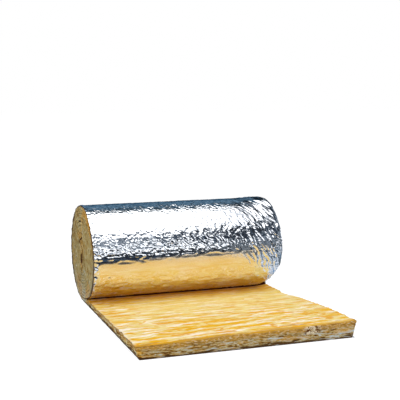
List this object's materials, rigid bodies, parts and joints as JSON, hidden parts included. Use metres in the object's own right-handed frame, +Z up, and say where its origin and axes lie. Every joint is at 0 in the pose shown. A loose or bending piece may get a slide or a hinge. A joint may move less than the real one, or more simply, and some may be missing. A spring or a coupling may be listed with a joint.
{
  "type": "insulation roll",
  "caption": "Foil-faced mineral wool insulation mat, wound into a roll that lies on its side, with its outer end unrolled flat along the floor.",
  "frame": {"origin": "on the floor, under the middle of the object's bounding box", "axes": "+X along the roll's axis, +Y from the tail's cut end towards the roll, +Z up"},
  "size_m": [1.244, 1.5218, 0.5794],
  "materials": {
    "glass_wool": "soft fibrous yellow glass wool, golden on the faces and grey-olive on the cut edges",
    "aluminium_foil": "bright crinkled aluminium foil"
  },
  "bodies": {
    "root": {"wool_mat": "glass_wool", "foil_facing": "aluminium_foil"}
  },
  "joints": []
}
